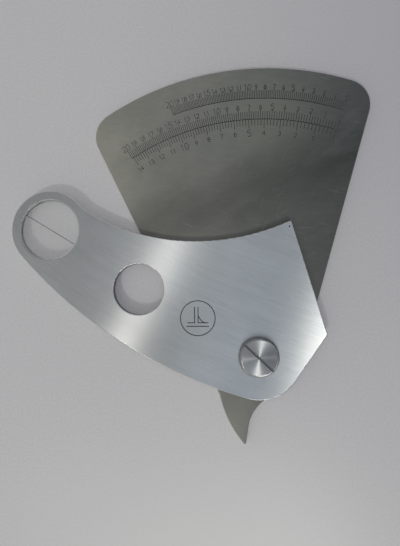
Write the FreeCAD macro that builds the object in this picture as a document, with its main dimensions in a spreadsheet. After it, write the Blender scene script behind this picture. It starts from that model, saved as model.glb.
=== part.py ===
import FreeCAD, Part
import math
import os

import Sketcher

# Fan-type weld gauge, in millimetres.
# Two stacked plates turn on one screw. The origin is on the pivot axis, on the back face that
# the gauge rests on. +Z is the pivot axis, from the back plate (fan) to the front plate (handle).

DIMENSIONS = [
    # the stack, from the back face up
    ("fan_thick", 2.0, "thickness of the sector plate"),
    ("shim_thick", 0.2, "thickness of the friction washer between the plates"),
    ("handle_thick", 2.0, "thickness of the handle plate"),
    ("head_gap", 0.1, "gap between the handle plate and the underside of the screw head"),
    ("head_thick", 1.9, "height of the screw head"),
    ("edge_break", 0.2, "chamfer round the sector plate"),
    ("edge_round", 0.25, "rounding of the handle plate's edges and of its round hole"),
    # handle plate
    ("window_dist", 71.0, "pivot to centre of the reading window"),
    ("arm_rise", 31.35, "slope of the arm above -X, degrees"),
    ("ring_rad", 11.4, "outer radius of the ring end"),
    ("window_rad", 9.1, "radius of the window seat"),
    ("sight_rad", 8.7, "radius of the opening below the window"),
    ("ledge_thick", 0.5, "thickness of the ledge that the window rests on"),
    ("belly_rad", 137.0, "radius of the long convex edge of the arm"),
    ("heel_rad", 12.2, "radius of the round end about the pivot"),
    ("hollow_rad", 64.0, "radius of the long hollow edge of the arm"),
    ("hollow_rise", 96.9, "height of the hollow edge's centre above the pivot"),
    ("neck_rad", 15.0, "blend between the ring end and the hollow edge"),
    ("edge_dist", 20.1, "pivot to the measuring edge"),
    ("edge_lean", 16.45, "lean of the measuring edge to the left, degrees"),
    ("edge_long", 33.7, "length of the measuring edge"),
    ("foot_slope", 55.0, "slope of the edge below the measuring edge, degrees"),
    ("corner_rad", 0.6, "rounding of the corner below the measuring edge"),
    ("thumb_left", 34.1, "round hole, distance left of the pivot"),
    ("thumb_rise", 19.2, "round hole, height above the pivot"),
    ("thumb_rad", 7.33, "radius of the round hole"),
    # sector plate
    ("arc_rad", 83.5, "radius of the fan's outer arc"),
    ("fan_corner", 7.5, "rounding of the fan's two outer corners"),
    ("left_slope", 63.96, "slope of the fan's left edge, degrees"),
    ("left_dist", 14.9, "pivot to the fan's left edge"),
    ("right_slope", 74.0, "slope of the fan's right edge, degrees"),
    ("boss_rad", 12.1, "radius of the fan about the pivot"),
    ("nose_start", 11.3, "depth below the pivot where the nose begins"),
    ("nose_back", 31.0, "radius of the nose's convex side"),
    ("nose_front", 12.0, "radius of the nose's hollow side"),
    ("tip_depth", 25.71, "depth of the nose's point below the pivot, before rounding"),
    ("tip_left", 3.85, "distance of the nose's point left of the pivot"),
    ("tip_slope", 81.5, "slope of the nose's straight side, degrees"),
    ("tip_rad", 0.35, "rounding of the nose's point"),
    # pivot
    ("hub_rad", 3.0, "radius of the bush's hub"),
    ("hub_play", 0.03, "radial clearance of the handle plate on the hub"),
    ("flange_rad", 5.5, "radius of the bush's flange"),
    ("flange_thick", 0.8, "thickness of the bush's flange"),
    ("thread_rad", 2.0, "radius of the thread"),
    ("thread_floor", 0.6, "thickness of the bush's closed end"),
    ("screw_foot", 0.9, "height of the screw's lower end above the back face"),
    ("head_rad", 5.65, "radius of the screw head"),
    ("head_round", 0.85, "rounding of the screw head's rim"),
    ("slot_wide", 0.65, "width of the screwdriver slot"),
    ("slot_deep", 0.6, "depth of the screwdriver slot"),
    ("slot_turn", -43.0, "direction of the slot from +X, degrees"),
    ("spring_seat_rad", 4.5, "radius of the recess for the spring washer"),
    ("spring_seat_deep", 0.6, "depth of the recess for the spring washer"),
    ("spring_out", 4.3, "outer radius of the spring washer"),
    ("spring_in", 3.15, "inner radius of the spring washer"),
    ("spring_thick", 0.25, "sheet thickness of the spring washer"),
    ("spring_bend", 22.0, "outer bend radius of the curved spring washer"),
    ("shim_out", 7.0, "outer radius of the friction washer"),
    ("shim_in", 3.1, "inner radius of the friction washer"),
    # window
    ("disc_rad", 9.07, "radius of the window disc"),
    ("disc_thick", 1.4, "thickness of the window disc"),
    ("disc_bevel", 0.35, "bevel round the top of the window disc"),
]

doc = FreeCAD.newDocument("weld_gauge")
sheet = doc.addObject("Spreadsheet::Sheet", "dims")
for row, (alias, value, meaning) in enumerate(DIMENSIONS, start=1):
    sheet.set(f"A{row}", meaning)
    sheet.set(f"B{row}", str(value))
    sheet.setAlias(f"B{row}", alias)
doc.recompute()

# Heights in the stack, as expressions on the sheet.
HANDLE_BACK = "dims.fan_thick + dims.shim_thick"
HANDLE_FRONT = f"{HANDLE_BACK} + dims.handle_thick"
HEAD_BACK = f"{HANDLE_FRONT} + dims.head_gap"

ORIGIN = (-1, 1)
X_AXIS = -1
Y_AXIS = -2
START, END, CENTRE = 1, 2, 3
ABOVE = FreeCAD.Vector(0, 0, 1)


def size(alias):
    """A driving dimension as a number."""
    return float(sheet.get(alias))


def polar(radius, degrees, about=(0.0, 0.0)):
    angle = math.radians(degrees)
    return FreeCAD.Vector(about[0] + radius * math.cos(angle), about[1] + radius * math.sin(angle), 0)


def arc(centre, radius, from_deg, to_deg):
    """An anticlockwise arc, as a first guess that the constraints then settle."""
    circle = Part.Circle(FreeCAD.Vector(centre[0], centre[1], 0), ABOVE, radius)
    return Part.ArcOfCircle(circle, math.radians(from_deg), math.radians(to_deg))


def line(start, end):
    return Part.LineSegment(FreeCAD.Vector(*start[:2], 0), FreeCAD.Vector(*end[:2], 0))


def new_body(label):
    body = doc.addObject("PartDesign::Body", label)
    body.Label = label
    return body


def new_sketch(body, name, role="XY_Plane", lift=None):
    """A sketch on one of the body's own origin planes, lifted along its normal if asked."""
    sketch = body.newObject("Sketcher::SketchObject", name)
    plane = next(p for p in body.Origin.OriginFeatures if p.Role == role)
    sketch.AttachmentSupport = [(plane, "")]
    sketch.MapMode = "FlatFace"
    if lift is not None:
        sketch.setExpression("AttachmentOffset.Base.z", lift)
    return sketch


def bind(sketch, name, expression, *constraint):
    """Adds a dimension to a sketch and ties it to the sheet."""
    index = sketch.addConstraint(Sketcher.Constraint(*constraint))
    sketch.renameConstraint(index, name)
    sketch.setExpression(f"Constraints.{name}", expression)


def join(sketch, kind, first, second):
    sketch.addConstraint(Sketcher.Constraint(kind, *first, *second))


def hide_tools(*objects):
    for tool in objects:
        tool.Visibility = False


def pad(body, sketch, length):
    feature = body.newObject("PartDesign::Pad", f"{sketch.Name}_pad")
    feature.Profile = sketch
    feature.setExpression("Length", length)
    doc.recompute()
    return feature


def pocket(body, sketch, depth, reverse=False):
    """Cuts a sketch into the body, and makes sure that it really cut."""
    before = body.Shape.Volume
    feature = body.newObject("PartDesign::Pocket", f"{sketch.Name}_pocket")
    feature.Profile = sketch
    feature.Reversed = reverse
    feature.setExpression("Length", depth)
    doc.recompute()
    if not body.Shape.Volume < before - 1e-3:
        raise RuntimeError(f"{sketch.Name} cut nothing")
    return feature


def round_pocket(body, name, radius, depth, lift, left=None, rise=None, reverse=False):
    """A circular pocket, on the pivot axis or to the upper left of it."""
    sketch = new_sketch(body, name, lift=lift)
    centre = FreeCAD.Vector(0, 0, 0)
    if left is not None:
        centre = FreeCAD.Vector(-1, 1, 0)
    sketch.addGeometry(Part.Circle(centre, ABOVE, 1.0))
    bind(sketch, "radius", radius, "Radius", 0, 1.0)
    if left is None:
        join(sketch, "Coincident", (0, CENTRE), ORIGIN)
    else:
        bind(sketch, "left", left, "DistanceX", 0, CENTRE, *ORIGIN, 1.0)
        bind(sketch, "rise", rise, "DistanceY", *ORIGIN, 0, CENTRE, 1.0)
    return pocket(body, sketch, depth, reverse)


def edges_where(shape, wanted):
    return [f"Edge{i}" for i, edge in enumerate(shape.Edges, start=1) if wanted(edge)]


def upright_edge_at(place, reach=0.6):
    """Picks the vertical edge that stands at a given place of the outline."""
    def wanted(edge):
        ends = [vertex.Point for vertex in edge.Vertexes]
        if len(ends) != 2 or abs(ends[0].z - ends[1].z) < 0.5:
            return False
        return all(math.hypot(p.x - place[0], p.y - place[1]) < reach for p in ends)
    return wanted


def top_circle(shape, radius):
    """Picks the circle of a given radius about the pivot axis in a turned shape's top face."""
    top = shape.BoundBox.ZMax

    def wanted(edge):
        box = edge.BoundBox
        return box.ZMin > top - 1e-3 and abs(box.XMax - radius) < 0.01
    return wanted


def flat_edge(thickness):
    """Picks the edges that lie in the bottom or the top face of a plate."""
    def wanted(edge):
        low, high = edge.BoundBox.ZMin, edge.BoundBox.ZMax
        flat = high - low < 1e-4
        outer_face = abs(low) < 1e-4 or abs(low - thickness) < 1e-4
        return flat and outer_face
    return wanted


def dress(body, kind, name, amount, wanted):
    """A fillet or chamfer on the edges that a test picks."""
    base = body.Tip
    names = edges_where(base.Shape, wanted)
    if not names:
        raise RuntimeError(f"{name} found no edge")
    feature = body.newObject(f"PartDesign::{kind}", name)
    feature.Base = (base, names)
    feature.setExpression("Radius" if kind == "Fillet" else "Size", amount)
    doc.recompute()
    return feature


def turned(body, name, profile):
    """A solid of revolution about Z. The profile lists (radius, height) expressions in order."""
    sketch = new_sketch(body, name, role="XZ_Plane")
    guesses = []
    for place, (radius, height) in enumerate(profile):
        guesses.append((0.0 if radius == "0" else 5.0 + 0.1 * place, 0.1 + place))
    for place, guess in enumerate(guesses):
        sketch.addGeometry(line(guess, guesses[(place + 1) % len(guesses)]))
    for place, (radius, height) in enumerate(profile):
        join(sketch, "Coincident", ((place - 1) % len(profile), END), (place, START))
        if radius == "0":
            sketch.addConstraint(Sketcher.Constraint("PointOnObject", place, START, Y_AXIS))
        else:
            bind(sketch, f"radius_{place}", radius, "DistanceX", *ORIGIN, place, START, guesses[place][0])
        if height == "0":
            sketch.addConstraint(Sketcher.Constraint("PointOnObject", place, START, X_AXIS))
        else:
            bind(sketch, f"height_{place}", height, "DistanceY", *ORIGIN, place, START, guesses[place][1])
    doc.recompute()
    feature = body.newObject("PartDesign::Revolution", f"{name}_turned")
    feature.Profile = sketch
    feature.ReferenceAxis = (sketch, ["V_Axis"])
    feature.Angle = 360
    doc.recompute()
    return feature


def cylinder(name, radius, height, lift="0"):
    feature = doc.addObject("Part::Cylinder", name)
    feature.setExpression("Radius", radius)
    feature.setExpression("Height", height)
    feature.setExpression("Placement.Base.z", lift)
    return feature


def boolean(kind, name, base, tool):
    feature = doc.addObject(f"Part::{kind}", name)
    feature.Base = base
    feature.Tool = tool
    hide_tools(base, tool)
    return feature


def make_handle_plate():
    """Front plate: ring end, arm, measuring edge and round end about the pivot."""
    body = new_body("handle_plate")
    outline = new_sketch(body, "handle_outline")
    arm_left = "dims.window_dist * cos(dims.arm_rise * 1deg)"
    arm_up = "dims.window_dist * sin(dims.arm_rise * 1deg)"
    window = polar(size("window_dist"), 180 - size("arm_rise"))
    belly = (33.0, 120.0)
    hollow = (-17.0, size("hollow_rise"))
    heel_end = polar(size("heel_rad"), size("foot_slope") - 90)
    edge_foot = (19.1, 6.2)
    edge_top = (9.6, 38.5)
    outline.addGeometry([
        arc(window, size("ring_rad"), 44, 221),
        arc(belly, size("belly_rad"), 221, 255),
        arc((0, 0), size("heel_rad"), 255, 325),
        line(heel_end, edge_foot),
        line(edge_foot, edge_top),
        arc(hollow, size("hollow_rad"), 236, 294),
    ])
    ring, back, heel, foot, edge, front = range(6)
    join(outline, "Tangent", (ring, END), (back, START))
    join(outline, "Tangent", (back, END), (heel, START))
    join(outline, "Tangent", (heel, END), (foot, START))
    join(outline, "Coincident", (foot, END), (edge, START))
    join(outline, "Coincident", (edge, END), (front, END))
    join(outline, "Coincident", (front, START), (ring, START))
    join(outline, "Coincident", (heel, CENTRE), ORIGIN)
    bind(outline, "ring", "dims.ring_rad", "Radius", ring, size("ring_rad"))
    bind(outline, "belly", "dims.belly_rad", "Radius", back, size("belly_rad"))
    bind(outline, "heel", "dims.heel_rad", "Radius", heel, size("heel_rad"))
    bind(outline, "hollow", "dims.hollow_rad", "Radius", front, size("hollow_rad"))
    bind(outline, "arm_left", arm_left, "DistanceX", ring, CENTRE, *ORIGIN, -window.x)
    bind(outline, "arm_up", arm_up, "DistanceY", *ORIGIN, ring, CENTRE, window.y)
    bind(outline, "hollow_rise", "dims.hollow_rise",
         "DistanceY", *ORIGIN, front, CENTRE, size("hollow_rise"))
    bind(outline, "foot_slope", "dims.foot_slope * 1deg",
         "Angle", foot, math.radians(size("foot_slope")))
    bind(outline, "edge_slope", "90deg + dims.edge_lean * 1deg",
         "Angle", edge, math.radians(90 + size("edge_lean")))
    bind(outline, "edge_dist", "dims.edge_dist", "Distance", *ORIGIN, edge, size("edge_dist"))
    bind(outline, "edge_long", "dims.edge_long", "Distance", edge, size("edge_long"))
    doc.recompute()
    pad(body, outline, "dims.handle_thick")

    neck = outline.getPoint(ring, START)
    corner = outline.getPoint(edge, START)
    dress(body, "Fillet", "neck_blend", "dims.neck_rad", upright_edge_at(neck))
    dress(body, "Fillet", "edge_corner", "dims.corner_rad", upright_edge_at(corner))
    thumb = (-size("thumb_left"), size("thumb_rise"))
    round_pocket(body, "thumb_hole", "dims.thumb_rad", "dims.handle_thick", "dims.handle_thick",
                 "dims.thumb_left", "dims.thumb_rise")
    dress(body, "Fillet", "handle_edges", "dims.edge_round", flat_edge(size("handle_thick")))
    round_pocket(body, "window_seat", "dims.window_rad", "dims.handle_thick - dims.ledge_thick",
                 "dims.handle_thick", arm_left, arm_up)
    round_pocket(body, "window_opening", "dims.sight_rad", "dims.handle_thick", "dims.handle_thick",
                 arm_left, arm_up)
    round_pocket(body, "hub_hole", "dims.hub_rad + dims.hub_play", "dims.handle_thick",
                 "dims.handle_thick")
    round_pocket(body, "spring_seat", "dims.spring_seat_rad", "dims.spring_seat_deep",
                 "dims.handle_thick")
    body.setExpression("Placement.Base.z", HANDLE_BACK)
    return body


def make_sector_plate():
    """Back plate: the fan, and the pointed nose on the far side of the pivot."""
    body = new_body("sector_plate")
    outline = new_sketch(body, "sector_outline")
    left_top = (-49.5, 67.3)
    right_top = (33.9, 76.3)
    nose_back_start = (-11.1, -size("nose_start"))
    tip = (-size("tip_left"), -size("tip_depth"))
    nose_front_end = (-3.1, -20.7)
    nose_back_centre = (20.0, -5.0)
    nose_front_centre = (8.8, -22.4)
    boss_end = polar(size("boss_rad"), size("right_slope") - 90)
    outline.addGeometry([
        arc((0, 0), size("arc_rad"), 66, 126),
        line(left_top, nose_back_start),
        arc(nose_back_centre, size("nose_back"), 192, 220),
        line(tip, nose_front_end),
        arc(nose_front_centre, size("nose_front"), 112, 168),
        arc((0, 0), size("boss_rad"), 292, 344),
        line(boss_end, right_top),
    ])
    rim, left, back, straight, front, boss, right = range(7)
    join(outline, "Coincident", (rim, CENTRE), ORIGIN)
    join(outline, "Coincident", (boss, CENTRE), ORIGIN)
    join(outline, "Coincident", (rim, END), (left, START))
    join(outline, "Coincident", (left, END), (back, START))
    join(outline, "Coincident", (back, END), (straight, START))
    join(outline, "Tangent", (straight, END), (front, END))
    join(outline, "Tangent", (front, START), (boss, START))
    join(outline, "Tangent", (boss, END), (right, START))
    join(outline, "Coincident", (right, END), (rim, START))
    bind(outline, "rim", "dims.arc_rad", "Radius", rim, size("arc_rad"))
    bind(outline, "boss", "dims.boss_rad", "Radius", boss, size("boss_rad"))
    bind(outline, "nose_back", "dims.nose_back", "Radius", back, size("nose_back"))
    bind(outline, "nose_front", "dims.nose_front", "Radius", front, size("nose_front"))
    bind(outline, "left_slope", "-dims.left_slope * 1deg",
         "Angle", left, -math.radians(size("left_slope")))
    bind(outline, "left_dist", "dims.left_dist", "Distance", *ORIGIN, left, size("left_dist"))
    bind(outline, "right_slope", "dims.right_slope * 1deg",
         "Angle", right, math.radians(size("right_slope")))
    bind(outline, "tip_slope", "dims.tip_slope * 1deg",
         "Angle", straight, math.radians(size("tip_slope")))
    bind(outline, "nose_start", "dims.nose_start",
         "DistanceY", left, END, *ORIGIN, size("nose_start"))
    bind(outline, "tip_depth", "dims.tip_depth",
         "DistanceY", straight, START, *ORIGIN, size("tip_depth"))
    bind(outline, "tip_left", "dims.tip_left",
         "DistanceX", straight, START, *ORIGIN, size("tip_left"))
    doc.recompute()
    pad(body, outline, "dims.fan_thick")

    corners = [outline.getPoint(left, START), outline.getPoint(right, END)]
    point = outline.getPoint(straight, START)
    dress(body, "Fillet", "fan_corners", "dims.fan_corner",
          lambda edge: any(upright_edge_at(corner)(edge) for corner in corners))
    dress(body, "Fillet", "nose_point", "dims.tip_rad", upright_edge_at(point))
    dress(body, "Chamfer", "sector_edges", "dims.edge_break", flat_edge(size("fan_thick")))
    round_pocket(body, "bush_hole", "dims.hub_rad", "dims.fan_thick", "dims.fan_thick")
    round_pocket(body, "flange_seat", "dims.flange_rad", "dims.flange_thick", "0", reverse=True)
    return body


def make_pivot_bush():
    """Blind threaded bush, flush with the back face, that both plates sit on."""
    body = new_body("pivot_bush")
    turned(body, "bush_profile", [
        ("0", "0"),
        ("dims.flange_rad", "0"),
        ("dims.flange_rad", "dims.flange_thick"),
        ("dims.hub_rad", "dims.flange_thick"),
        ("dims.hub_rad", HEAD_BACK),
        ("dims.thread_rad", HEAD_BACK),
        ("dims.thread_rad", "dims.thread_floor"),
        ("0", "dims.thread_floor"),
    ])
    return body


def make_pivot_screw():
    """Screw with a wide, low, slotted head that bears on the end of the bush."""
    body = new_body("pivot_screw")
    head_front = f"{HEAD_BACK} + dims.head_thick"
    turned(body, "screw_profile", [
        ("0", "dims.screw_foot"),
        ("dims.thread_rad", "dims.screw_foot"),
        ("dims.thread_rad", HEAD_BACK),
        ("dims.head_rad", HEAD_BACK),
        ("dims.head_rad", head_front),
        ("0", head_front),
    ])
    dress(body, "Fillet", "head_rim", "dims.head_round", top_circle(body.Shape, size("head_rad")))
    slot = new_sketch(body, "slot", lift=head_front)
    slot.setExpression("AttachmentOffset.Rotation.Angle", "dims.slot_turn * 1deg")
    slot.setExpression("AttachmentOffset.Rotation.Axis.z", "1")
    far, half = 7.0, 0.5
    corners = [(-far, -half), (far, -half), (far, half), (-far, half)]
    for place, start in enumerate(corners):
        slot.addGeometry(line(start, corners[(place + 1) % 4]))
    for place in range(4):
        join(slot, "Coincident", (place, END), ((place + 1) % 4, START))
    for place in (0, 2):
        slot.addConstraint(Sketcher.Constraint("Horizontal", place))
    for place in (1, 3):
        slot.addConstraint(Sketcher.Constraint("Vertical", place))
    slot.addConstraint(Sketcher.Constraint("Symmetric", 0, START, 2, START, *ORIGIN))
    bind(slot, "wide", "dims.slot_wide", "DistanceY", 1, START, 1, END, 2 * half)
    bind(slot, "long", "2 * dims.head_rad + 2", "DistanceX", 0, START, 0, END, 2 * far)
    pocket(body, slot, "dims.slot_deep")
    return body


def make_window_disc():
    """Clear disc with a bevelled rim, seated on the ledge of the handle plate's ring end."""
    body = new_body("window_disc")
    turned(body, "disc_profile", [
        ("0", "0"),
        ("dims.disc_rad", "0"),
        ("dims.disc_rad", "dims.disc_thick - dims.disc_bevel"),
        ("dims.disc_rad - dims.disc_bevel", "dims.disc_thick"),
        ("0", "dims.disc_thick"),
    ])
    body.setExpression("Placement.Base.x", "-dims.window_dist * cos(dims.arm_rise * 1deg)")
    body.setExpression("Placement.Base.y", "dims.window_dist * sin(dims.arm_rise * 1deg)")
    body.setExpression("Placement.Base.z", f"{HANDLE_BACK} + dims.ledge_thick")
    return body


def make_spring_washer():
    """Curved spring washer: a flat ring bent about X, in the recess under the screw head."""
    seat = f"{HANDLE_FRONT} - dims.spring_seat_deep"
    room = "dims.spring_seat_deep + dims.head_gap"
    rim = cylinder("spring_rim", "dims.spring_out", room, seat)
    eye = cylinder("spring_eye", "dims.spring_in", room, seat)
    ring = boolean("Cut", "spring_ring", rim, eye)
    apex = f"{HEAD_BACK} - 0.02"
    bends = []
    for name, inset in (("bend_outside", "0"), ("bend_inside", "dims.spring_thick")):
        bend = cylinder(name, f"dims.spring_bend - {inset}", "2 * dims.spring_out + 2")
        bend.Placement.Rotation = FreeCAD.Rotation(FreeCAD.Vector(0, 1, 0), 90)
        bend.setExpression("Placement.Base.x", "-dims.spring_out - 1")
        bend.setExpression("Placement.Base.z", f"{apex} - dims.spring_bend")
        bends.append(bend)
    sheet_metal = boolean("Cut", "spring_sheet", *bends)
    washer = boolean("Common", "spring_washer", ring, sheet_metal)
    washer.Label = "spring_washer"
    return washer


def make_friction_washer():
    """Thin flat washer that keeps the two plates apart."""
    rim = cylinder("shim_rim", "dims.shim_out", "dims.shim_thick", "dims.fan_thick")
    eye = cylinder("shim_eye", "dims.shim_in", "dims.shim_thick", "dims.fan_thick")
    washer = boolean("Cut", "friction_washer", rim, eye)
    washer.Label = "friction_washer"
    return washer


SUB_PARTS = [
    make_sector_plate(),
    make_pivot_bush(),
    make_friction_washer(),
    make_handle_plate(),
    make_window_disc(),
    make_spring_washer(),
    make_pivot_screw(),
]
doc.recompute()

for item in doc.Objects:
    if "Invalid" in item.State or "Error" in item.State:
        raise RuntimeError(f"{item.Name} failed: {item.State}")
for sub_part in SUB_PARTS:
    if sub_part.Shape.isNull() or not sub_part.Shape.isValid():
        raise RuntimeError(f"{sub_part.Label} has no valid shape")

os.makedirs("parts", exist_ok=True)
for sub_part in SUB_PARTS:
    sub_part.Shape.exportStep(f"parts/{sub_part.Label}.step")
    box = sub_part.Shape.BoundBox
    print(f"{sub_part.Label}: {sub_part.Shape.Volume:.2f} mm3, "
          f"x {box.XMin:.2f}..{box.XMax:.2f}, y {box.YMin:.2f}..{box.YMax:.2f}, "
          f"z {box.ZMin:.2f}..{box.ZMax:.2f}")
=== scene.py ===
import math
from collections import namedtuple

import bmesh
import bpy
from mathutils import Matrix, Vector


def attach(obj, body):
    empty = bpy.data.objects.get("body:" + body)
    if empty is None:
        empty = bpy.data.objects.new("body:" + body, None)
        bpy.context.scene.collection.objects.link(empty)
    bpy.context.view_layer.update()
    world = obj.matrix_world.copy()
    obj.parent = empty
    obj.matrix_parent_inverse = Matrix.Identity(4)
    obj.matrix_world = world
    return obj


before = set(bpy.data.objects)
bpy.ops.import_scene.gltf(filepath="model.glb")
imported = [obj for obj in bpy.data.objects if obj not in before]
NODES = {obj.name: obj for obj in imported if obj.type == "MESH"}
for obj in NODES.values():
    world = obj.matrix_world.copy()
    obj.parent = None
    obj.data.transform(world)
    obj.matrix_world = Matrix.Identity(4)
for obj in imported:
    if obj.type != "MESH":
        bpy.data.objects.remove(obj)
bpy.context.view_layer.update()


MM = 0.001

# ---------------------------------------------------------------------------------- dimensions
# Places are in mm from the pivot, and heights in mm above the table, unless a comment says
# otherwise.

# The gauge's scale law: the nose's point turns on a radius REACH about the pivot, which lies
# EDGE_DIST from the measuring edge, so a reading of h stands acos((EDGE_DIST - h) / REACH)
# beyond LAW_TURN.
REACH = 25.5
EDGE_DIST = 20.1
LAW_TURN = 32.25              # degrees from +X
ROOT2 = math.sqrt(2.0)        # leg of a fillet weld for a throat of 1

SECTOR_FACE = 2.0             # front face of the sector plate
HANDLE_FACE = 4.2             # front face of the handle plate
HEAD_FACE = 6.2               # top of the pivot screw's head
GLASS_BACK = 2.7              # underside of the window
WINDOW = (-60.63, 36.94)      # centre of the window
ARM_TURN = 148.65             # degrees, from the pivot to the window
HOLE = (-34.1, 19.2)          # centre of the round hole
SLOT_TURN = -43.0             # degrees from +X, run of the screwdriver slot
GRIND_CENTRE = (76.6, 240.9)  # centre of the wide arcs that the handle plate is brushed in
SECTOR_GRAIN = -8.0           # degrees from +X, run of the sector plate's grain

MARK_ROOT = 0.005             # how far a filled mark goes into the steel
MARK_PROUD = 0.012            # how far it stands above it
MITRE_LIMIT = 0.5             # least cosine that a strip's corner is mitred by

# A scale: radius of its base line, side that its ticks lie on (1 outside, -1 inside), depth per
# reading, last reading, length of a plain and of a numbered tick, radius of the numbers, and
# height of the numbers and of every fifth one.
Scale = namedtuple("Scale", "radius way factor last short long text_radius height tall")
MID_LINE = 68.4
TOP_LINE = 74.5
SCALES = (
    Scale(MID_LINE, 1, 1.0, 20, 2.3, 3.0, 71.95, 1.3, 1.8),
    Scale(MID_LINE, -1, ROOT2, 14, 1.9, 2.7, 64.3, 1.3, 1.9),
    Scale(TOP_LINE, 1, 1 / ROOT2, 20, 2.45, 3.1, 77.9, 1.3, 1.7),
)
TICKS_PER_READING = 5
TICK_WIDE = 0.14
LINE_WIDE = 0.17
FIGURE_WIDE = 0.15
FIGURE_PITCH = 0.72           # of a figure's height
ARC_STEPS = 90

BADGE = (-17.05, 10.85)       # centre of the ring on the handle plate
BADGE_RADIUS = 4.94
BADGE_STEPS = 96
BADGE_WIDE = 0.24
PUNCH_DOT = (9.1, 36.56)
PUNCH_RADIUS = 0.22

HAIRLINE_ENDS = (-8.4, 9.0)   # from the window's centre, along the arm
HAIRLINE_WIDE = 0.16
HAIRLINE_LEVELS = (0.004, 0.02)  # above the window's underside


# -------------------------------------------------------------------------------------- meshes
def polar(radius, degrees):
    """A place on a circle about the pivot, at an angle from +X."""
    a = math.radians(degrees)
    return (radius * math.cos(a), radius * math.sin(a))


def ribbon(mesh, points, width, low, high, closed=False):
    """Adds a flat strip of constant width along points, with mitred corners, to a bmesh."""
    pts = [Vector((p[0], p[1])) for p in points]
    count = len(pts)
    rings = []
    for i, p in enumerate(pts):
        before = pts[i - 1] if (i or closed) else None
        after = pts[(i + 1) % count] if (i + 1 < count or closed) else None
        into = (p - before).normalized() if before is not None else (after - p).normalized()
        away = (after - p).normalized() if after is not None else into
        run = (into + away).normalized()
        across = Vector((-run.y, run.x)) * (width / 2 / max(MITRE_LIMIT, run.dot(into)))
        left, right = p + across, p - across
        rings.append([
            mesh.verts.new((left.x * MM, left.y * MM, high * MM)),
            mesh.verts.new((right.x * MM, right.y * MM, high * MM)),
            mesh.verts.new((right.x * MM, right.y * MM, low * MM)),
            mesh.verts.new((left.x * MM, left.y * MM, low * MM)),
        ])
    for i in range(count if closed else count - 1):
        a, b = rings[i], rings[(i + 1) % count]
        for k in range(4):
            n = (k + 1) % 4
            mesh.faces.new((a[k], a[n], b[n], b[k]))
    if not closed:
        mesh.faces.new(rings[0][::-1])
        mesh.faces.new(rings[-1])


def plug(mesh, centre, radius, low, high, steps=24):
    """Adds a small round plug to a bmesh."""
    tops, feet = [], []
    for i in range(steps):
        x, y = polar(radius, 360 * i / steps)
        tops.append(mesh.verts.new(((centre[0] + x) * MM, (centre[1] + y) * MM, high * MM)))
        feet.append(mesh.verts.new(((centre[0] + x) * MM, (centre[1] + y) * MM, low * MM)))
    mesh.faces.new(tops)
    mesh.faces.new(feet[::-1])
    for i in range(steps):
        n = (i + 1) % steps
        mesh.faces.new((tops[i], feet[i], feet[n], tops[n]))


def finished(mesh, name, body, material):
    """Makes a bmesh into a piece that rides on a body."""
    bmesh.ops.recalc_face_normals(mesh, faces=mesh.faces)
    data = bpy.data.meshes.new(name)
    mesh.to_mesh(data)
    mesh.free()
    data.materials.append(material)
    piece = bpy.data.objects.new(name, data)
    bpy.context.scene.collection.objects.link(piece)
    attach(piece, body)


def bow(cx, cy, rx, ry, start, stop, steps=9):
    """Part of an oval, from one angle to another in degrees, as a stroke of a figure."""
    out = []
    for i in range(steps + 1):
        a = math.radians(start + (stop - start) * i / steps)
        out.append((cx + rx * math.cos(a), cy + ry * math.sin(a)))
    return out


# Single-stroke figures, as cut by an engraving machine, in a box 1 high about the origin.
NUMERALS = {
    "0": [bow(0, 0, 0.27, 0.5, 90, 450, 20)],
    "1": [[(-0.14, 0.3), (0.05, 0.5), (0.05, -0.5)]],
    "2": [bow(0, 0.24, 0.26, 0.26, 160, -35, 9) + [(-0.27, -0.5), (0.28, -0.5)]],
    "3": [bow(0, 0.25, 0.25, 0.25, 150, -80, 10), bow(0, -0.23, 0.28, 0.27, 80, -150, 10)],
    "4": [[(0.12, -0.5), (0.12, 0.5), (-0.3, -0.18), (0.3, -0.18)]],
    "5": [[(0.25, 0.5), (-0.2, 0.5), (-0.24, 0.06)], bow(-0.02, -0.17, 0.28, 0.33, 130, -140, 12)],
    "6": [[(0.16, 0.5), (-0.1, 0.22)] + bow(0, -0.2, 0.27, 0.3, 160, 500, 16)],
    "7": [[(-0.27, 0.5), (0.27, 0.5), (-0.08, -0.5)]],
    "8": [bow(0, 0.25, 0.22, 0.25, -90, 270, 16), bow(0, -0.24, 0.28, 0.26, 90, 450, 16)],
    "9": [[(-0.16, -0.5), (0.1, -0.22)] + bow(0, 0.2, 0.27, 0.3, -20, 320, 16)],
}


def number(mesh, text, radius, degrees, height, low, high):
    """Writes a number upright on an arc about the pivot, with its top outward."""
    turn = math.radians(degrees - 90)
    cx, cy = polar(radius, degrees)
    for place, figure in enumerate(text):
        shift = (place - (len(text) - 1) / 2) * FIGURE_PITCH * height
        for stroke in NUMERALS[figure]:
            points = []
            for x, y in stroke:
                u, v = x * height + shift, y * height
                points.append((
                    cx + u * math.cos(turn) - v * math.sin(turn),
                    cy + u * math.sin(turn) + v * math.cos(turn),
                ))
            ribbon(mesh, points, FIGURE_WIDE, low, high)


def law_angle(depth):
    """Where a depth in mm stands on the sector, in degrees from +X."""
    return LAW_TURN + math.degrees(math.acos((EDGE_DIST - depth) / REACH))


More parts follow.
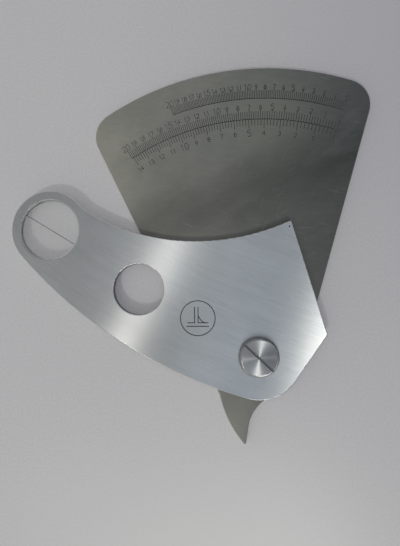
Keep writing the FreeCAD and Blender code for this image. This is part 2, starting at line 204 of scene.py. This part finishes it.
# ---------------------------------------------------------------------------------- node trees
class Tree:
    """A node tree, with short ways to add and join nodes."""

    def __init__(self, tree):
        self.tree = tree
        self.tree.nodes.clear()

    def node(self, kind, **settings):
        made = self.tree.nodes.new("ShaderNode" + kind)
        for key, value in settings.items():
            setattr(made, key, value)
        return made

    def join(self, source, target):
        self.tree.links.new(source, target)

    def feed(self, socket, given):
        """Joins a socket to another one, or sets it to a number, a vector or a colour."""
        if isinstance(given, bpy.types.NodeSocket):
            self.join(given, socket)
        elif socket.type == "RGBA":
            socket.default_value = (*given, 1.0)
        else:
            socket.default_value = given

    def axes(self, vector):
        """The X, Y and Z of a vector."""
        apart = self.node("SeparateXYZ")
        self.join(vector, apart.inputs["Vector"])
        return apart.outputs["X"], apart.outputs["Y"], apart.outputs["Z"]

    def vector(self, x, y=0.0, z=0.0):
        made = self.node("CombineXYZ")
        for socket, given in zip(made.inputs, (x, y, z)):
            self.feed(socket, given)
        return made.outputs["Vector"]

    def vectors(self, operation, a, b=None, gives="Vector"):
        made = self.node("VectorMath", operation=operation)
        self.feed(made.inputs[0], a)
        if b is not None:
            self.feed(made.inputs[1], b)
        return made.outputs[gives]

    def maths(self, operation, *given):
        made = self.node("Math", operation=operation)
        for socket, value in zip(made.inputs, given):
            self.feed(socket, value)
        return made.outputs["Value"]

    def plus(self, a, b):
        return self.maths("ADD", a, b)

    def times(self, a, b):
        return self.maths("MULTIPLY", a, b)

    def span(self, value, low, high, to_low, to_high):
        """A value's run from low to high as a run from to_low to to_high, and no further."""
        made = self.node("MapRange", clamp=True)
        ends = {"From Min": low, "From Max": high, "To Min": to_low, "To Max": to_high}
        for key, end in ends.items():
            made.inputs[key].default_value = end
        self.join(value, made.inputs["Value"])
        return made.outputs["Result"]

    def blend(self, share, first, second, kind="MIX"):
        """A colour mix. first and second are colours or sockets."""
        made = self.node("Mix", data_type="RGBA", blend_type=kind)
        for key, given in (("Factor", share), ("A", first), ("B", second)):
            self.feed(next(s for s in made.inputs if s.name == key and s.enabled), given)
        return next(s for s in made.outputs if s.enabled)

    def ramp(self, value, low, high, stops):
        """Colours along a value's run from low to high. A stop is a share of the run and a
        colour."""
        made = self.node("ValToRGB")
        elements = made.color_ramp.elements
        while len(elements) < len(stops):
            elements.new(0.5)
        for element, (where, colour) in zip(elements, stops):
            element.position = where
            element.color = (*colour, 1.0)
        self.join(self.span(value, low, high, 0.0, 1.0), made.inputs["Fac"])
        return made.outputs["Color"]


class Sheet(Tree):
    """A material."""

    def __init__(self, name):
        self.material = bpy.data.materials.new(name)
        self.material.use_nodes = True
        super().__init__(self.material.node_tree)
        self.out = self.node("OutputMaterial")
        self.place = self.node("TexCoord").outputs["Object"]

    def mapped(self, turn, scale, shift=(0, 0, 0), vector=None):
        """Object coordinates, or a vector, turned so that +X runs along turn (degrees), then
        scaled and shifted."""
        turned = self.node("Mapping", vector_type="TEXTURE")
        turned.inputs["Rotation"].default_value = (0, 0, math.radians(turn))
        self.join(self.place if vector is None else vector, turned.inputs["Vector"])
        made = self.node("Mapping", vector_type="POINT")
        made.inputs["Scale"].default_value = scale
        made.inputs["Location"].default_value = shift
        self.join(turned.outputs["Vector"], made.inputs["Vector"])
        return made.outputs["Vector"]

    def from_centre(self, centre):
        """The vector from a centre on the table."""
        return self.vectors("SUBTRACT", self.place, (centre[0] * MM, centre[1] * MM, 0.0))

    def flat(self, vector):
        """A vector without its height."""
        x, y, _ = self.axes(vector)
        return self.vector(x, y)

    def swept(self, centre, scale, skew=0.0, shift=(0, 0, 0)):
        """Coordinates along and across wide arcs about a centre, then mapped."""
        away = self.from_centre(centre)
        x, y, height = self.axes(away)
        angle = self.maths("ARCTAN2", x, self.times(y, -1.0))
        along = self.times(angle, math.hypot(*centre) * MM)
        across = self.vectors("LENGTH", self.flat(away), gives="Value")
        return self.mapped(skew, scale, shift, self.vector(along, across, height))

    def spot(self, centre, reach, height=0.0):
        """A soft ball about a place: 1 at its middle and 0 from reach on."""
        middle = (centre[0] * MM, centre[1] * MM, height * MM)
        made = self.node("MapRange", interpolation_type="SMOOTHSTEP")
        made.inputs["From Max"].default_value = reach * MM
        made.inputs["To Min"].default_value = 1.0
        made.inputs["To Max"].default_value = 0.0
        self.join(self.vectors("DISTANCE", self.place, middle, "Value"), made.inputs["Value"])
        return made.outputs["Result"]

    def walls(self, low, high):
        """1 where a surface stands upright in the object's own frame, 0 on its flat faces. It
        goes from 1 to 0 as the normal's height goes from low to high."""
        normal = self.node("TexCoord").outputs["Normal"]
        return self.span(self.maths("ABSOLUTE", self.axes(normal)[2]), low, high, 1.0, 0.0)

    def noise(self, vector, scale=1.0, detail=2.0, rough=0.5):
        made = self.node("TexNoise")
        made.inputs["Scale"].default_value = scale
        made.inputs["Detail"].default_value = detail
        made.inputs["Roughness"].default_value = rough
        self.join(vector, made.inputs["Vector"])
        return made.outputs["Fac"]

    def swing(self, noise, low, high):
        """A noise, whose usual run is 0.3 to 0.7, as a run from low to high."""
        return self.span(noise, 0.3, 0.7, low, high)

    def scratches(self, turns, along, across, shift):
        """Thin broken lines at several directions, 0 to 1."""
        cut, cut_soft = 0.70, 0.05
        total = None
        for i, turn in enumerate(turns):
            place = self.mapped(turn, (along, across, 1.0), (shift + i * 3.7, i * 1.9, 0.0))
            thin = self.span(self.noise(place, 1.0, 1.0), cut, cut + cut_soft, 0.0, 1.0)
            total = thin if total is None else self.maths("MAXIMUM", total, thin)
        return total

    def bump(self, height, depth, strength=1.0, after=None):
        made = self.node("Bump")
        made.inputs["Distance"].default_value = depth * MM
        made.inputs["Strength"].default_value = strength
        self.join(height, made.inputs["Height"])
        if after is not None:
            self.join(after, made.inputs["Normal"])
        return made.outputs["Normal"]

    def to_world(self, vector):
        made = self.node(
            "VectorTransform", vector_type="VECTOR", convert_from="OBJECT", convert_to="WORLD",
        )
        self.feed(made.inputs["Vector"], vector)
        return made.outputs["Vector"]

    def surface(self, colour, rough, normal, tangent=None, painted_glow=None, **constants):
        shader = self.node("BsdfPrincipled")
        for key, value in constants.items():
            shader.inputs[key.replace("_", " ")].default_value = value
        links = {
            "Base Color": colour, "Roughness": rough, "Normal": normal, "Tangent": tangent,
            "Emission Color": painted_glow,
        }
        for key, link in links.items():
            if link is not None:
                self.join(link, shader.inputs[key])
        self.join(shader.outputs["BSDF"], self.out.inputs["Surface"])
        return self.material


# ---------------------------------------------------------------------------------- materials
# Colours are linear. A mapping's three scales are in features per metre, along, across and up.
def handle_steel():
    """Stainless steel brushed in wide arcs, with polished edges that also carry a painted highlight, a
    painted highlight and a painted shade on the arm, and painted shade on the wall of the round hole.
    """
    s = Sheet("handle_brushed_steel")
    fine = s.noise(s.swept(GRIND_CENTRE, (110.0, 3600.0, 300.0)), 1.0, 3.0, 0.6)
    cross_place = s.swept(GRIND_CENTRE, (160.0, 2600.0, 300.0), 9.0, (5.0, 1.0, 0.0))
    cross = s.noise(cross_place, 1.0, 2.0, 0.6)
    broad = s.noise(s.swept(GRIND_CENTRE, (28.0, 420.0, 60.0), 0.0, (2.0, 9.0, 0.0)), 1.0, 3.0)
    smudge = s.noise(s.place, 38.0, 3.0, 0.55)
    marks = s.scratches((12.0, -58.0, 71.0), 120.0, 3800.0, 4.0)
    grain = s.plus(s.times(fine, 0.55), s.times(cross, 0.45))
    polished_and_highlight = s.walls(0.70, 0.985)
    round_hole_shade = s.span(s.spot(HOLE, 18.0), 0.45, 0.5, 0.0, 1.0)

    tone = s.blend(s.swing(grain, 0.0, 1.0), (0.515, 0.518, 0.515), (0.675, 0.678, 0.67))
    tone = s.blend(s.span(broad, 0.35, 0.68, 0.0, 0.4), tone, (0.70, 0.705, 0.70))
    tone = s.blend(s.span(smudge, 0.42, 0.7, 0.0, 0.35), tone, (0.49, 0.50, 0.51))
    tone = s.blend(s.times(marks, 0.35), tone, (0.82, 0.83, 0.83))
    # painted highlight: a paler patch high on the arm, where its gleam runs
    tone = s.blend(s.times(s.spot((-26.0, 33.0), 20.0), 0.45), tone, (0.76, 0.76, 0.73))
    # painted shade: a darker patch low on the arm, dimming its gleam there
    tone = s.blend(s.times(s.spot((-35.0, 5.0), 22.0), 0.75), tone, (0.41, 0.41, 0.40))
    # painted highlight: the polished edges and walls are made paler than the steel
    tone = s.blend(s.times(polished_and_highlight, 0.8), tone, (0.88, 0.88, 0.86))
    # painted shade: the wall of the round hole is darkened
    tone = s.blend(s.times(s.walls(0.2, 0.5), round_hole_shade), tone, (0.20, 0.20, 0.205))
    rough = s.plus(s.swing(grain, 0.31, 0.37), s.swing(smudge, -0.02, 0.04))
    rough = s.maths("SUBTRACT", rough, s.times(polished_and_highlight, 0.12))
    normal = s.bump(marks, 0.002, 0.5, s.bump(grain, 0.0015))
    outward = s.vectors("NORMALIZE", s.flat(s.from_centre(GRIND_CENTRE)))
    lay = s.blend(s.walls(0.35, 0.6), outward, (0.0, 0.0, 1.0))
    return s.surface(
        tone, rough, normal, s.to_world(lay),
        Metallic=1.0, Anisotropic=1.0, Specular_IOR_Level=0.5,
    )


def sector_steel():
    """Darkened satin steel with a straight grain, stains and scratches. Its darkening to the right is
    partly patina and partly painted shade, and it carries a painted highlight near the top scale and
    along its edges.
    """
    s = Sheet("sector_satin_steel")
    fine = s.noise(s.mapped(SECTOR_GRAIN, (260.0, 3000.0, 300.0)), 1.0, 3.0, 0.6)
    cloud = s.noise(s.place, 45.0, 4.0, 0.6)
    stain = s.noise(s.mapped(35.0, (30.0, 75.0, 30.0), (3.0, 3.0, 0.0)), 1.0, 4.0, 0.6)
    marks = s.scratches((28.0, -20.0, 3.0, 66.0), 130.0, 2900.0, 9.0)

    # patina and painted shade: paler and warmer on the left, darker and cooler on the right, where the
    # steel mirrors a darker room
    x, y, _ = s.axes(s.place)
    patina_and_shade = s.span(s.plus(x, s.swing(stain, -8 * MM, 8 * MM)), -45 * MM, 30 * MM, 0.0, 1.0)
    pale = s.blend(patina_and_shade, (0.388, 0.373, 0.325), (0.145, 0.151, 0.145))
    deep = s.blend(patina_and_shade, (0.337, 0.323, 0.280), (0.117, 0.122, 0.118))
    tone = s.blend(s.swing(fine, 0.0, 1.0), deep, pale)
    tone = s.blend(s.span(cloud, 0.42, 0.68, 0.0, 0.35), tone, (0.15, 0.152, 0.142))
    tone = s.blend(s.span(stain, 0.55, 0.7, 0.0, 0.3), tone, (0.30, 0.305, 0.285))

    # tone scaled across the plate: paler towards the outer arc, darkest in a band across the middle
    skewed = s.maths("SUBTRACT", y, s.times(x, 0.35))
    skewed = s.plus(skewed, s.swing(stain, -4 * MM, 4 * MM))
    wear = s.span(skewed, 37 * MM, 47 * MM, 0.95, 0.76)
    wear = s.plus(wear, s.span(skewed, 50 * MM, 60 * MM, 0.0, 0.42))
    wear = s.plus(wear, s.span(skewed, 60 * MM, 73 * MM, 0.0, 0.10))
    worn = s.node("VectorMath", operation="SCALE")
    s.join(tone, worn.inputs[0])
    s.join(wear, worn.inputs["Scale"])
    # painted highlight: a pale yellowish patch near the top scale
    painted_highlight_patch = s.times(s.spot((2.0, 70.0), 18.0), 0.5)
    tone = s.blend(painted_highlight_patch, worn.outputs["Vector"], (0.33, 0.325, 0.27))
    tone = s.blend(s.times(marks, 0.22), tone, (0.42, 0.43, 0.41))
    # painted highlight: paler chamfered edges
    tone = s.blend(s.times(s.walls(0.75, 0.95), 0.7), tone, (0.50, 0.50, 0.47))

    rough = s.plus(s.swing(fine, 0.54, 0.62), s.swing(cloud, -0.03, 0.06))
    normal = s.bump(marks, 0.002, 0.5, s.bump(fine, 0.0018))
    return s.surface(
        tone, rough, normal, s.to_world((*polar(1.0, SECTOR_GRAIN + 90), 0.0)),
        Metallic=1.0, Anisotropic=0.3, Specular_IOR_Level=0.5,
    )


def head_wear(s, tone, rough, wear):
    """The screw head's tone and roughness with grime and painted shade in the driver slot, a dull
    rounded rim and a painted dark reflection towards its right."""
    _, across, height = s.axes(s.mapped(SLOT_TURN, (1.0, 1.0, 1.0)))
    # within half the slot's width, and deeper than its lip
    inside = s.span(s.maths("ABSOLUTE", across), 0.36 * MM, 0.40 * MM, 1.0, 0.0)
    below = s.span(height, (HEAD_FACE - 0.3) * MM, (HEAD_FACE - 0.05) * MM, 1.0, 0.0)
    # grime and painted shade in the driver slot
    grime_and_shade = s.times(inside, below)
    rounded = s.walls(0.88, 0.985)
    # painted reflection: a darker patch towards the head's right, where it mirrors a dark room
    painted_dark_reflection = s.times(s.spot((3.7, 0.5), 4.4, HEAD_FACE), s.swing(wear, 0.7, 0.95))
    tone = s.blend(s.times(grime_and_shade, 0.35), tone, (0.36, 0.355, 0.33))
    tone = s.blend(s.times(rounded, 0.5), tone, (0.42, 0.42, 0.425))
    tone = s.blend(painted_dark_reflection, tone, (0.22, 0.225, 0.24))
    rough = s.plus(rough, s.times(grime_and_shade, 0.3))
    return tone, s.plus(rough, s.times(rounded, 0.25))


def turned_steel(name, dark, light, rough_low, rough_high, lay=0.0, is_head=False):
    """Steel faced in a lathe: fine rings about the pivot axis, whose highlight fans out at an
    angle (lay, degrees) to the radius."""
    s = Sheet(name)
    flat = s.flat(s.place)
    leaning = s.node("VectorRotate", rotation_type="Z_AXIS")
    s.join(s.vectors("NORMALIZE", flat), leaning.inputs["Vector"])
    leaning.inputs["Angle"].default_value = math.radians(lay)
    reach = s.vectors("LENGTH", flat, gives="Value")
    rings = s.noise(s.vector(s.times(reach, 5200.0)), 1.0, 3.0, 0.7)
    wear = s.noise(s.place, 260.0, 3.0, 0.6)
    tone = s.blend(s.swing(rings, 0.0, 1.0), dark, light)
    tone = s.blend(s.span(wear, 0.5, 0.75, 0.0, 0.3), tone, tuple(0.7 * c for c in dark))
    rough = s.plus(s.swing(rings, rough_low, rough_high), s.swing(wear, -0.02, 0.04))
    if is_head:
        tone, rough = head_wear(s, tone, rough, wear)
    return s.surface(
        tone, rough, s.bump(rings, 0.0025), s.to_world(leaning.outputs["Vector"]),
        Metallic=1.0, Anisotropic=0.91,
    )


def rolled_sheet(name, dark, light, rough_low, rough_high):
    """Rolled strip: fine straight grain with light blotches."""
    s = Sheet(name)
    grain = s.noise(s.mapped(20.0, (300.0, 4200.0, 300.0)), 1.0, 3.0, 0.6)
    blotch = s.noise(s.place, 320.0, 3.0, 0.6)
    tone = s.blend(s.swing(grain, 0.0, 1.0), dark, light)
    tone = s.blend(s.span(blotch, 0.5, 0.7, 0.0, 0.5), tone, tuple(0.75 * c for c in dark))
    rough = s.swing(grain, rough_low, rough_high)
    return s.surface(tone, rough, s.bump(grain, 0.002), Metallic=1.0)


def etched_black(name, dark, light, fades=()):
    """Dark stain in the cut of an engraved mark, thinner in places. A fade is a place, a reach
    and how much of the stain is gone there."""
    s = Sheet(name)
    worn = s.noise(s.place, 900.0, 3.0, 0.65)
    patch = s.noise(s.mapped(0.0, (70.0, 70.0, 70.0), (1.0, 4.0, 0.0)), 1.0, 2.0)
    share = s.times(s.span(worn, 0.35, 0.7, 0.25, 1.0), s.span(patch, 0.35, 0.65, 0.35, 1.0))
    tone = s.blend(share, dark, light)
    for centre, reach, lost in fades:
        tone = s.blend(s.times(s.spot(centre, reach), lost), tone, (0.17, 0.172, 0.165))
    rough = s.swing(worn, 0.5, 0.75)
    return s.surface(tone, rough, s.bump(worn, 0.004), Specular_IOR_Level=0.25)


def clear_window():
    """Clear plastic with faint rubbing haze and a ground rim: it lets light through and mirrors
    a little, more at a glancing angle."""
    s = Sheet("window_clear")
    haze = s.noise(s.mapped(30.0, (400.0, 1500.0, 300.0)), 1.0, 3.0, 0.6)
    clear = s.blend(s.span(haze, 0.35, 0.7, 0.0, 1.0), (0.99, 0.992, 0.99), (0.975, 0.978, 0.976))
    through = s.node("BsdfTransparent")
    s.join(clear, through.inputs["Color"])
    mirror = s.node("BsdfGlossy")
    mirror.inputs["Color"].default_value = (1.0, 1.0, 1.0, 1.0)
    s.join(s.span(haze, 0.35, 0.7, 0.02, 0.06), mirror.inputs["Roughness"])
    edge = s.node("LayerWeight")
    edge.inputs["Blend"].default_value = 0.5
    glancing = s.maths("POWER", edge.outputs["Facing"], 5.0)
    glass = s.node("MixShader")
    s.join(s.maths("MULTIPLY_ADD", glancing, 0.95, 0.04), glass.inputs["Fac"])
    s.join(through.outputs["BSDF"], glass.inputs[1])
    s.join(mirror.outputs["BSDF"], glass.inputs[2])
    ground = s.node("BsdfDiffuse")
    ground.inputs["Color"].default_value = (0.86, 0.87, 0.87, 1.0)
    rim = s.node("MixShader")
    s.join(s.times(s.walls(0.85, 0.95), s.swing(haze, 0.5, 0.75)), rim.inputs["Fac"])
    s.join(glass.outputs["Shader"], rim.inputs[1])
    s.join(ground.outputs["BSDF"], rim.inputs[2])
    s.join(rim.outputs["Shader"], s.out.inputs["Surface"])
    return s.material


def dress(node, material):
    """Gives a CAD node a material."""
    slots = NODES[node].data.materials
    slots.clear()
    slots.append(material)


dress("handle_plate", handle_steel())
dress("sector_plate", sector_steel())
dress("pivot_screw", turned_steel(
    "screw_turned_steel", (0.33, 0.33, 0.325), (0.49, 0.49, 0.485), 0.29, 0.33, 22.0, is_head=True,
))
dress("pivot_bush", turned_steel(
    "bush_turned_steel", (0.40, 0.40, 0.39), (0.56, 0.56, 0.55), 0.28, 0.38,
))
dress("spring_washer", rolled_sheet(
    "spring_strip_steel", (0.26, 0.27, 0.29), (0.40, 0.41, 0.43), 0.25, 0.40,
))
dress("friction_washer", rolled_sheet(
    "bronze_sheet", (0.42, 0.27, 0.14), (0.62, 0.43, 0.24), 0.30, 0.45,
))
dress("window_disc", clear_window())

# Where the sector's marks are worn: a place, a reach and how much of the stain is gone.
FADED_ENDS = (((34.0, 66.0), 20.0, 0.95), ((-30.0, 72.0), 22.0, 0.6), ((-46.0, 50.0), 20.0, 0.45))


# --------------------------------------------------------------------------------------- marks
def scale_marks():
    """Three scales on two lines: the fine graduations, the base lines and the numbers."""
    low, high = SECTOR_FACE - MARK_ROOT, SECTOR_FACE + MARK_PROUD
    ticks, figures = bmesh.new(), bmesh.new()
    for scale in SCALES:
        for tick in range(TICKS_PER_READING * scale.last + 1):
            angle = law_angle(tick / TICKS_PER_READING * scale.factor)
            length = scale.short if tick % TICKS_PER_READING else scale.long
            ends = [polar(scale.radius, angle), polar(scale.radius + scale.way * length, angle)]
            ribbon(ticks, ends, TICK_WIDE, low, high)
        for reading in range(scale.last + 1):
            angle = law_angle(reading * scale.factor)
            height = scale.height if reading % 5 else scale.tall
            number(figures, str(reading), scale.text_radius, angle, height, low, high)
    for scale in (SCALES[0], SCALES[2]):
        start, stop = law_angle(0.0), law_angle(scale.last * scale.factor)
        arc = [polar(scale.radius, start + (stop - start) * i / ARC_STEPS) for i in range(ARC_STEPS + 1)]
        ribbon(ticks, arc, LINE_WIDE, low, high)
    lines = etched_black("sector_line_stain", (0.006, 0.007, 0.006), (0.035, 0.037, 0.033), FADED_ENDS)
    stain = etched_black("sector_figure_stain", (0.025, 0.026, 0.024), (0.07, 0.072, 0.066), FADED_ENDS)
    finished(ticks, "scale_graduations", "fan", lines)
    finished(figures, "scale_numbers", "fan", stain)


def handle_marks():
    """A ring with a plain pictogram of a fillet weld, and the small punch dot in the corner."""
    low, high = HANDLE_FACE - MARK_ROOT, HANDLE_FACE + MARK_PROUD
    mesh = bmesh.new()

    def draw(points, closed=False):
        moved = [(BADGE[0] + x, BADGE[1] + y) for x, y in points]
        ribbon(mesh, moved, BADGE_WIDE, low, high, closed)

    draw([polar(BADGE_RADIUS, 360 * i / BADGE_STEPS) for i in range(BADGE_STEPS)], closed=True)
    draw([(-3.2, -2.3), (3.2, -2.3)])                # underside of the base plate
    draw([(-2.9, -1.3), (-0.9, -1.3), (-0.9, 3.2)])  # its top and the upright plate, on the left
    draw([(0.1, 3.2), (0.1, -1.3), (3.0, -1.3)])     # and on the right
    leg, sag = 2.0, 0.5
    face = [(0.1 + leg * t, 0.7 - leg * t - sag * math.sin(math.pi * t)) for t in (0.2, 0.4, 0.6, 0.8)]
    draw([(0.1, 0.7)] + face + [(2.1, -1.3)])        # face of the weld between them
    plug(mesh, PUNCH_DOT, PUNCH_RADIUS, low, high)
    ink = etched_black("handle_mark_stain", (0.015, 0.016, 0.018), (0.045, 0.048, 0.05))
    finished(mesh, "handle_marks", "handle", ink)


def hairline():
    """The reading line, filled into the back of the window."""
    mesh = bmesh.new()
    ax, ay = polar(1.0, ARM_TURN)
    ends = [(WINDOW[0] + end * ax, WINDOW[1] + end * ay) for end in HAIRLINE_ENDS]
    low, high = (GLASS_BACK + level for level in HAIRLINE_LEVELS)
    ribbon(mesh, ends, HAIRLINE_WIDE, low, high)
    paint = etched_black("hairline_paint", (0.01, 0.01, 0.01), (0.03, 0.03, 0.03))
    finished(mesh, "reading_hairline", "handle", paint)


scale_marks()
handle_marks()
hairline()


# ---------------------------------------------------------------------------- floor and lights
def floor():
    """A pale speckled table top under the gauge, with a painted pool of light towards the front, painted
    shade towards the back right and a faint painted glow that lifts its shadows.
    """
    s = Sheet("table_laminate")
    speck = s.noise(s.place, 1500.0, 3.0, 0.7)
    cloud = s.noise(s.place, 9.0, 3.0, 0.5)
    specks = s.span(speck, 0.35, 0.7, 0.0, 1.0)
    tone = s.blend(specks, (0.640, 0.626, 0.602), (0.708, 0.692, 0.668))
    tone = s.blend(s.span(cloud, 0.35, 0.7, 0.0, 0.4), tone, (0.652, 0.634, 0.625))
    # painted pool of light towards the front
    tone = s.blend(s.spot((-15.0, -80.0), 80.0), tone, (0.88, 0.865, 0.80))
    # painted shade towards the back right
    tone = s.blend(s.spot((100.0, 95.0), 170.0), tone, (0.46, 0.44, 0.455))
    # painted glow: a faint emission that lifts the table's shadows
    painted_glow = s.blend(specks, (0.082, 0.077, 0.085), (0.104, 0.098, 0.107))
    material = s.surface(
        tone, s.swing(speck, 0.34, 0.44), s.bump(speck, 0.02, 0.6), painted_glow=painted_glow,
        Specular_IOR_Level=0.2, Emission_Strength=1.0,
    )
    half = 1.5        # m
    drop = 0.00002    # m below the gauge's back face
    corners = [(-half, -half, 0), (half, -half, 0), (half, half, 0), (-half, half, 0)]
    data = bpy.data.meshes.new("table_top")
    data.from_pydata(corners, [], [(0, 1, 2, 3)])
    data.materials.append(material)
    top = bpy.data.objects.new("table_top", data)
    top.location = (0, 0, -drop)
    bpy.context.scene.collection.objects.link(top)


LAMP_AIM = Vector((-0.02, 0.03, 0))  # m


def lamp(name, direction, distance, size, power, colour, gleams):
    """A rectangular lamp that shines on the gauge from a direction. One that gleams shows only
    in gloss. One that doesn't lights only dull surfaces, and casts the shadows."""
    data = bpy.data.lights.new(name, "AREA")
    data.shape = "RECTANGLE"
    data.size, data.size_y = size
    data.energy = power
    data.color = colour
    made = bpy.data.objects.new(name, data)
    made.visible_diffuse = not gleams
    made.visible_glossy = gleams
    towards = Vector(direction).normalized()
    made.location = towards * distance + LAMP_AIM
    made.rotation_euler = towards.to_track_quat("Z", "Y").to_euler()
    bpy.context.scene.collection.objects.link(made)


def surroundings():
    """A grey studio: softly lit above, and paler walls low down behind the gauge and to the
    lower left."""
    world = bpy.data.worlds.new("studio")
    bpy.context.scene.world = world
    world.use_nodes = True
    sky = Tree(world.node_tree)
    towards = sky.node("TexCoord").outputs["Generated"]
    x, y, z = sky.axes(towards)
    across = sky.ramp(x, -1.0, 1.0, [
        (0.10, (0.36, 0.36, 0.355)), (0.28, (0.40, 0.40, 0.40)), (0.40, (0.52, 0.54, 0.56)),
        (0.50, (0.565, 0.635, 0.72)), (0.60, (0.47, 0.53, 0.59)), (0.68, (0.26, 0.27, 0.285)),
        (0.82, (0.16, 0.165, 0.175)),
    ])
    along = sky.ramp(y, -1.0, 1.0, [
        (0.25, (1.0, 1.0, 1.0)), (0.60, (1.0, 1.0, 1.0)), (0.85, (0.6, 0.6, 0.6)),
    ])
    above = sky.blend(1.0, across, along, "MULTIPLY")
    lower_left = sky.vectors("DOT_PRODUCT", towards, (-0.75, -0.66, 0.0), "Value")
    near_wall = sky.ramp(lower_left, -1.0, 1.0, [
        (0.60, (0.15, 0.155, 0.16)), (0.675, (0.70, 0.70, 0.69)), (0.75, (0.98, 0.98, 0.95)),
    ])
    far_wall = sky.ramp(y, -1.0, 1.0, [(0.78, (0.0, 0.0, 0.0)), (0.90, (0.62, 0.62, 0.63))])
    walls = sky.blend(1.0, near_wall, far_wall, "LIGHTEN")
    height = sky.ramp(z, 0.0, 1.0, [(0.12, (0.0, 0.0, 0.0)), (0.45, (1.0, 1.0, 1.0))])
    back = sky.node("Background")
    back.inputs["Strength"].default_value = 1.0
    sky.join(sky.blend(height, walls, above), back.inputs["Color"])
    sky.join(back.outputs["Background"], sky.node("OutputWorld").inputs["Surface"])


floor()
surroundings()
lamp("key", (-0.24, -0.587, 0.773), 1.50, (0.06, 0.08), 2.96, (1.0, 0.99, 0.96), gleams=False)
lamp("left", (-0.437, -0.50, 0.75), 0.75, (0.06, 0.08), 0.55, (1.0, 0.985, 0.945), gleams=True)
lamp("right", (0.19, -0.60, 0.77), 0.75, (0.07, 0.12), 0.88, (1.0, 1.0, 0.95), gleams=True)


# -------------------------------------------------------------------------------------- camera
def camera():
    """The photo's view: from above, a few degrees off square."""
    data = bpy.data.cameras.new("view")
    data.sensor_fit = "HORIZONTAL"
    data.sensor_width = 36.0  # mm
    data.lens = 34.2          # mm
    data.clip_start = 0.005
    data.clip_end = 20.0
    made = bpy.data.objects.new("view", data)
    place = (-0.00893, 0.02073, 0.11223)  # m
    tilt = (1.533, 3.911, -0.529)         # degrees about X, Y and Z
    made.location = place
    made.rotation_euler = tuple(math.radians(a) for a in tilt)
    bpy.context.scene.collection.objects.link(made)
    bpy.context.scene.camera = made


camera()
bpy.context.scene.view_settings.view_transform = "Standard"
